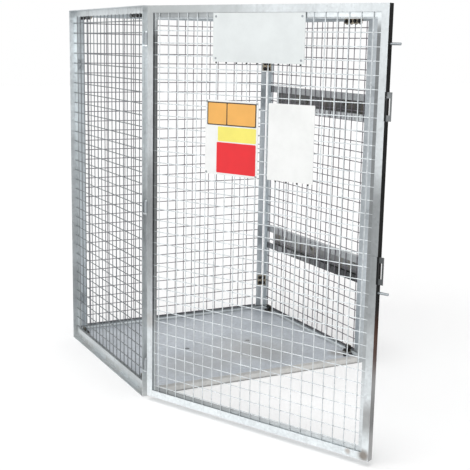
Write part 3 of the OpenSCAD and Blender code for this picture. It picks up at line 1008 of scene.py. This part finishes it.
def make_finishes(colours):
    """All finishes, from the colours that a user would change."""
    bright, dull = colours.bright, colours.dull
    # door frame: painted reflection and shade, lighter at the foot where the floor is reflected,
    # darkest at mid height
    door_painted_light = ((0.05, 1.12), (0.12, 0.97), (0.32, 0.90), (0.47, 0.68), (0.60, 0.45),
                  (0.75, 0.38), (0.98, 0.38), (1.22, 0.70), (1.40, 0.78))
    # mesh strips: painted shade, dark above, lighter at the foot and at the very top
    strip_painted_shade = ((0.26, 1.0), (0.46, 0.55), (0.75, 0.38), (1.25, 0.30), (1.60, 0.27),
                   (1.67, 1.10))
    # floor lips: painted shade along the fold and the top edge, with a lighter band between as
    # painted light
    lip_painted_shade = ((0.040, 0.50), (0.045, 0.55), (0.047, 1.50), (0.053, 1.50),
                 (0.0545, 0.50), (0.060, 0.45))
    # front fold: painted shadow line at its foot and a lighter face above as painted light
    nose_painted_shade = ((0.001, 0.35), (0.005, 0.50), (0.008, 1.12), (0.026, 1.15),
                  (0.030, 0.86))
    # cover strips: painted shadow line along their top
    cover_painted_shade = ((0.030, 0.90), (0.0555, 0.92), (0.0585, 0.16), (0.064, 0.14))
    # left panel: painted light, darker low down, lighter high up, darker again at the top edge
    left_painted_light = ((0.05, 0.95), (0.25, 0.72), (0.80, 0.78), (1.20, 1.0), (1.55, 1.12),
                  (1.685, 1.08), (1.698, 0.86))
    lavender = Vector((0.40, 0.375, 0.42))
    rail_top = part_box("upper_restraint_rail")
    rail_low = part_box("lower_restraint_rail")
    FINISHES.update({
        "door": galvanised("Door frame", bright * 1.22, painted_light_tones=door_painted_light, streaks=0.2,
                           grime=0.12, stains_and_painted_shade=door_stains_and_shade()),
        # mesh strips: painted shade, darkest at the far side of each strip, lighter near the
        # stile and towards the free side
        "strip": galvanised("Mesh strips", bright * 0.92, painted_light_tones=strip_painted_shade, grime=0.1,
                            painted_light_bands=((DOOR_LOW.x + 0.030, DOOR_LOW.x + 0.047, 2.3, 1.0),
                                   (DOOR_LOW.x + 0.1, DOOR_HIGH.x - 0.1, 0.55, 1.15))),
        "edge": shaded_edge("Shaded free edge"),
        # left, rear and right are copies of one zinc, lighter or darker per panel for the light
        # each side gets: painted light and shade
        "left": galvanised("Left panel", bright * 1.20, painted_light_tones=left_painted_light, streaks=0.45),
        "rear": galvanised("Rear panel", dull * 1.65, streaks=0.35, rough=0.46),
        "right": galvanised("Right panel", dull * 1.4, streaks=0.25),
        # hasp plates: the door's painted light, and beyond the door's free edge a painted shade,
        # near black, lighter again towards the outer end
        "hasp": galvanised("Hasp plates", bright * 1.22, painted_light_tones=door_painted_light, grime=0.1,
                           painted_light_bands=((DOOR_HIGH.x - 0.001, DOOR_HIGH.x + 0.001, 1.0, 0.03),
                                  (DOOR_HIGH.x + 0.006, DOOR_HIGH.x + 0.013, 1.0, 11.0))),
        "knuckle": galvanised("Hinge knuckles", dull * 1.0, rough=0.55),
        "cover": galvanised("Mesh cover strips", bright * 1.05, painted_light_tones=cover_painted_shade,
                            waver=0.0, grime=0.0, streaks=0.3),
        "steel": galvanised("Pegs", dull * 0.9, spangle=0.16, rough=0.36),
        "lip": galvanised("Floor lips", bright * 0.9, painted_light_tones=lip_painted_shade, waver=0.0,
                          grime=0.0, streaks=0.0),
        "nose": galvanised("Front fold", Vector((0.60, 0.60, 0.59)), painted_light_tones=nose_painted_shade,
                           waver=0.0, grime=0.15, streaks=0.0),
        "floor": galvanised("Floor sheet", colours.floor, spangle=0.16, rough=0.5,
                            grime=0.10, streaks=0.0, stains_and_painted_shade=floor_stains()),
        # the wire finishes are copies of one wire zinc, lighter or darker per panel for the
        # light each side gets: painted light and shade
        "left_wire": galvanised("Left mesh wire", dull * 0.62, spangle=0.2, grime=0.1),
        "rear_wire": galvanised("Rear mesh wire", lavender * 0.62, spangle=0.2, grime=0.1),
        "right_wire": galvanised("Right mesh wire", lavender * 0.55, spangle=0.2,
                                 grime=0.1),
        "roof_wire": galvanised("Roof mesh wire", dull * 0.7, spangle=0.2, grime=0.1),
        "door_wire": galvanised("Door mesh wire", bright * 1.08, spangle=0.2, grime=0.1),
        "upper_rail": stained_shaded_rail("Upper restraint rail", colours.rail, colours.stain,
                                   rail_top, (0.50, 0.25), (1.3, 1.25)),
        "lower_rail": stained_shaded_rail("Lower restraint rail", colours.rail * 1.1,
                                   colours.stain * 1.6, rail_low,
                                   (1.0, 0.62), (0.65, 0.14)),
        "weld": galvanised("Weld bead", dull * 0.9, rough=0.4),
        "yellow": passivated("Yellow zinc", colours.yellow),
        "clip": passivated("Soiled yellow zinc", colours.yellow * 0.3),
        "bracket": galvanised("Rear left brackets", dull * 1.3),
        "dark": blackened("Dark bolts", colours.dark),
        "plate": painted("Name plate", colours.plate, rough=0.35, metal=0.3),
        "board": painted("Sign board", colours.paper, rough=0.4),
        "paper": painted("Notice sheet", colours.paper, rough=0.5),
        "orange": painted("Orange field", colours.orange, rough=0.4),
        "gold": painted("Yellow field", colours.gold, rough=0.4),
        "red": painted("Red field", colours.red, rough=0.4),
        "line": painted("Field outline", colours.line, rough=0.4),
    })


def door_stains_and_shade():
    """Burnt weld and dirt on the door's frame, mostly at its lower free corner, and a wide grey
    patch of painted shade over its top at the hinge side.
    """
    foot = Vector((DOOR_HIGH.x - 0.02, DOOR_LOW.y, DOOR_LOW.z + 0.02))
    heel = Vector((DOOR_LOW.x + 0.015, DOOR_LOW.y, DOOR_LOW.z + 0.35))
    return (
        (SWING @ foot, 0.030, (0.13, 0.085, 0.05), 0.75),
        (SWING @ (foot - Vector((0.07, 0, 0))), 0.016, (0.22, 0.13, 0.07), 0.5),
        (SWING @ (foot + Vector((0, 0, 0.15))), 0.085, (0.24, 0.235, 0.23), 0.7),
        # wide grey patch: painted shade over the top rail and the upper hinge stile
        (SWING @ Vector((DOOR_LOW.x + 0.10, DOOR_LOW.y, DOOR_HIGH.z)), 0.48,
         (0.38, 0.40, 0.40), 0.78),
        (SWING @ heel, 0.05, (0.30, 0.27, 0.24), 0.4),
    )


def floor_stains():
    """Dirt round the anchor holes and the corners of the floor sheet."""
    top = TRAY_HIGH.z
    spots = [(Vector((x, 0.5 * (TRAY_LOW.y + TRAY_HIGH.y) - 0.05, top)), 0.018,
              (0.05, 0.05, 0.05), 0.85) for x in (-0.175, 0.175)]
    spots.append((Vector((0.12, -0.20, top)), 0.30, (0.40, 0.39, 0.37), 0.5))
    spots.append((Vector((-0.25, -0.30, top)), 0.22, (0.36, 0.36, 0.35), 0.4))
    spots.append((Vector((0.50, -0.43, top)), 0.07, (0.20, 0.17, 0.13), 0.6))
    return spots


def prism(name, rings):
    """Closed piece between two rings of corners."""
    work = bmesh.new()
    first, last = [[work.verts.new(corner) for corner in ring] for ring in rings]
    for i in range(len(first)):
        j = (i + 1) % len(first)
        work.faces.new((first[i], first[j], last[j], last[i]))
    work.faces.new(first)
    work.faces.new(last)
    bmesh.ops.recalc_face_normals(work, faces=work.faces)
    mesh = bpy.data.meshes.new(name)
    work.to_mesh(mesh)
    work.free()
    return add_object(name, mesh)


def rounded_plate(name, x0, z0, x1, z1, y_back, thick, radius):
    """Thin plate with rounded corners on the door's closed layout."""
    outline = []
    for cx, cz, start in ((x1 - radius, z1 - radius, 0), (x0 + radius, z1 - radius, 90),
                          (x0 + radius, z0 + radius, 180), (x1 - radius, z0 + radius, 270)):
        for step in range(7):
            a = math.radians(start + 15 * step)
            outline.append((cx + radius * math.cos(a), cz + radius * math.sin(a)))
    return prism(name, [[SWING @ Vector((x, y, z)) for x, z in outline]
                        for y in (y_back, y_back - thick)])


def folded_lip(name, start, end, inward, sizes):
    """Sheet angle swept from start to end: it lies on the floor and turns up."""
    bend, thick = sizes.bend, sizes.thick
    arc = [math.radians(90 * i / 5) for i in range(6)]
    outer = [(bend - bend * math.sin(a), bend - bend * math.cos(a)) for a in arc]
    small = bend - thick
    inner = [(bend - small * math.sin(a), bend - small * math.cos(a)) for a in arc[::-1]]
    profile = [(sizes.reach, 0.0), *outer, (0.0, sizes.height),
               (thick, sizes.height), *inner, (sizes.reach, thick)]
    piece = prism(name, [[at + inward * d + Vector((0, 0, z)) for d, z in profile]
                         for at in (start, end)])
    shade_auto(piece.data, 30.0)
    return piece


def flat_strip(name, place, x0, x1, z0, z1, y0, y1):
    """Flat bar with eased long edges, in the layout of a panel."""
    ease = 0.0006
    profile = ((y0, z0 + ease), (y0 + ease, z0), (y1 - ease, z0), (y1, z0 + ease),
               (y1, z1 - ease), (y1 - ease, z1), (y0 + ease, z1), (y0, z1 - ease))
    return prism(name, [[place @ Vector((x, y, z)) for y, z in profile]
                        for x in (x0, x1)])


def islands(node):
    """Boxes of the separate solids of a node of the cage, lowest corner first."""
    work = bmesh.new()
    work.from_mesh(frame["nodes"][node].data)
    bmesh.ops.remove_doubles(work, verts=work.verts, dist=1e-6)
    seen, found = set(), []
    for start in work.verts:
        if start in seen:
            continue
        seen.add(start)
        stack, group = [start], []
        while stack:
            vert = stack.pop()
            group.append(vert.co.copy())
            for each in vert.link_edges:
                other = each.other_vert(vert)
                if other not in seen:
                    seen.add(other)
                    stack.append(other)
        found.append(extent(group))
    work.free()
    return sorted(found, key=lambda box: tuple(round(v, 4) for v in box[0]))


def bolt_places():
    """Each bolt piece: name, body, finish and its (place, axis) points."""
    corner, hidden, clamp, clip = [], [], [], []
    # distances of the bolts from the edges of what they hold
    bracket_end, bracket_far, bracket_near = 0.015, 0.028, 0.010
    clamp_inside, clamp_outside = 0.013, 0.006
    clip_end, clip_drop, clip_in = 0.011, 0.012, 0.017
    sheet_in, sheet_far = 0.025, 0.060
    for low, high in islands("corner_brackets"):
        side = 1 if low.x > 0 else -1
        heel = high.x if side > 0 else low.x
        for z in (low.z + bracket_end, high.z - bracket_end):
            spots = corner if side > 0 else hidden
            spots.append(((heel - side * bracket_far, high.y - PLATE, z), (0, -1, 0)))
            spots.append(((heel - side * PLATE, low.y + bracket_near, z), (-side, 0, 0)))
    for low, high in islands("roof_clamps"):
        side = 1 if low.x > 0 else -1
        inner, outer = (low.x, high.x) if side > 0 else (high.x, low.x)
        for share in (0.12, 0.37, 0.63, 0.88):
            y = low.y + share * (high.y - low.y)
            clamp.append(((inner, y, low.z + clamp_inside), (-side, 0, 0)))
            clamp.append(((outer, y, low.z + clamp_outside), (side, 0, 0)))
    for low, high in islands("floor_clips"):
        side = 1 if low.x > 0 else -1
        heel = high.x if side > 0 else low.x
        for y in (low.y + clip_end, high.y - clip_end):
            clip.append(((heel - side * PLATE, y, high.z - clip_drop), (-side, 0, 0)))
            clip.append(((heel - side * clip_in, y, low.z + PLATE), (0, 0, 1)))
    for x in (TRAY_LOW.x + sheet_in, TRAY_HIGH.x - sheet_far, TRAY_HIGH.x - sheet_in):
        clip.append(((x, TRAY_LOW.y + sheet_in, TRAY_HIGH.z), (0, 0, 1)))
    return (
        ("corner_bolts", "cage", "dark", corner),
        ("corner_bolts_left", "cage", "bracket", hidden),
        ("clamp_bolts", "cage", "dark", clamp),
        ("floor_bolts", "cage", "dark", clip),
    )


def weld_places(body):
    """Beads where the wires end on the angle, for the panels of a body."""
    sizes = bpy.context.scene.cage_mesh
    spots = []
    for panel, (place, width, height, leg, owner) in PANELS.items():
        if owner != body:
            continue
        normal = place.to_3x3() @ Vector((0, 1, 0))
        edge = leg - sizes.lap
        inset = 0.006
        wire = sizes.wire if body == "door" else sizes.heavy
        depth = sizes.angle + wire * 0.5
        if panel not in COVERED:
            for x in mesh_lines(width, sizes.pitch, leg - CAD_LAP):
                for z in (edge + inset, height - edge - inset):
                    spots.append((place @ Vector((x, depth, z)), normal))
        for z in mesh_lines(height, sizes.pitch, leg - CAD_LAP):
            for x in (edge + inset, width - edge - inset):
                spots.append((place @ Vector((x, depth + wire, z)), normal))
    return spots


def rivet_places():
    """Rivets near the corners of the name plate and the sign."""
    spots = []
    for node, inset in (("name_plate", 0.014), ("sign_panel", 0.007)):
        low, high = closed_box(node)
        for x in (low.x + inset, high.x - inset):
            for z in (low.z + inset, high.z - inset):
                spots.append((SWING @ Vector((x, low.y, z)), DOOR_OUT))
    return spots


def plate_shadow_places():
    """Dark dots of painted shadow where upright wires leave the lower edge of the door's plates.
    """
    sizes = bpy.context.scene.cage_mesh
    width = DOOR_HIGH.x - DOOR_LOW.x
    sunk, drop = 0.001, 0.003
    spots = []
    for node in ("name_plate", "notice_sheet"):
        low, high = closed_box(node)
        for x in mesh_lines(width, sizes.pitch, DOOR_LEG - CAD_LAP):
            x += DOOR_LOW.x
            if low.x < x < high.x:
                shadow_dot = Vector((x, low.y + sunk, low.z - drop))
                spots.append((SWING @ shadow_dot, DOOR_OUT))
    return spots


# ---------------------------------------------------------------------------
# Studio
# ---------------------------------------------------------------------------

# share of the light that the studio floor throws back, and its own glow
FLOOR_WHITE = 0.86
FLOOR_GLOW = 0.16
# light of the world on the object; the background itself is seen at 1
WORLD_LIGHT = 0.42
# lamp name: (direction, strength, spread in degrees)
LAMPS = {
    "key": ((0.80, 0.33, -0.50), 1.5, 75.0),
    "top": ((0.05, 0.0, -1.0), 1.15, 22.0),
}


def backdrop_share(tree):
    """1 for rays that show the background straight or in a reflection."""
    path = tree.add("ShaderNodeLightPath").outputs
    seen = tree.math("MAXIMUM", path["Is Camera Ray"], path["Is Glossy Ray"])
    return tree.math("MAXIMUM", seen, path["Is Transmission Ray"])


def make_floor(size):
    """White floor that keeps the object's soft shadow."""
    mesh = bpy.data.meshes.new("studio_floor")
    half = size / 2
    mesh.from_pydata([(-half, -half, 0), (half, -half, 0), (half, half, 0),
                      (-half, half, 0)], [], [(0, 1, 2, 3)])
    floor = add_object("studio_floor", mesh)
    floor.location.z = -0.001
    material = bpy.data.materials.new("Studio floor")
    material.use_nodes = True
    material.node_tree.nodes.clear()
    tree = Tree(material.node_tree)
    matt = tree.add("ShaderNodeBsdfDiffuse", {"Color": (FLOOR_WHITE,) * 3})
    glow = tree.add("ShaderNodeEmission", {
        "Color": (1, 1, 1), "Strength": tree.math("MULTIPLY", backdrop_share(tree),
                                              FLOOR_GLOW)})
    both = tree.add("ShaderNodeAddShader", {0: matt.outputs[0], 1: glow.outputs[0]})
    tree.add("ShaderNodeOutputMaterial", {"Surface": both.outputs[0]})
    mesh.materials.append(material)


def sun_lamp(name, toward, strength, spread):
    """Distant soft lamp that lights the whole floor evenly."""
    data = bpy.data.lights.new(name, "SUN")
    data.energy = strength
    data.angle = math.radians(spread)
    lamp = add_object(name, data)
    lamp.rotation_euler = Vector(toward).to_track_quat("-Z", "Y").to_euler()


def make_stage(sizes):
    """Floor, world, lamps and camera."""
    scene = bpy.context.scene
    scene.view_settings.view_transform = "Standard"
    make_floor(sizes.floor_size)
    world = bpy.data.worlds.new("Studio")
    scene.world = world
    world.use_nodes = True
    world.node_tree.nodes.clear()
    tree = Tree(world.node_tree)
    light = tree.add("ShaderNodeBackground", {"Color": (1, 1, 1), "Strength": WORLD_LIGHT})
    white = tree.add("ShaderNodeBackground", {"Color": (1, 1, 1), "Strength": 1.0})
    both = tree.add("ShaderNodeMixShader", {
        0: backdrop_share(tree), 1: light.outputs[0], 2: white.outputs[0]})
    tree.add("ShaderNodeOutputWorld", {"Surface": both.outputs[0]})
    for name, facts in LAMPS.items():
        sun_lamp(name, *facts)
    camera = bpy.data.cameras.new("photo_camera")
    camera.lens = sizes.lens
    camera.sensor_width = 36.0
    eye = add_object("photo_camera", camera)
    turn = (Matrix.Rotation(-sizes.yaw, 4, "Z")
            @ Matrix.Rotation(math.pi / 2 - sizes.pitch, 4, "X")
            @ Matrix.Rotation(sizes.roll, 4, "Z"))
    eye.matrix_world = Matrix.Translation(Vector(sizes.eye)) @ turn
    scene.camera = eye


# ---------------------------------------------------------------------------
# Registration and run
# ---------------------------------------------------------------------------

CLASSES = (*GROUPS.values(), *STEPS, CAGE_PT_panel)


def register():
    for each in CLASSES:
        bpy.utils.register_class(each)
    for name, group in GROUPS.items():
        setattr(bpy.types.Scene, name, bpy.props.PointerProperty(type=group))


def unregister():
    for name in GROUPS:
        delattr(bpy.types.Scene, name)
    for each in reversed(CLASSES):
        bpy.utils.unregister_class(each)


def main():
    register()
    for step in STEPS:
        group, name = step.bl_idname.split(".")
        getattr(getattr(bpy.ops, group), name)()


if __name__ == "__main__":
    main()
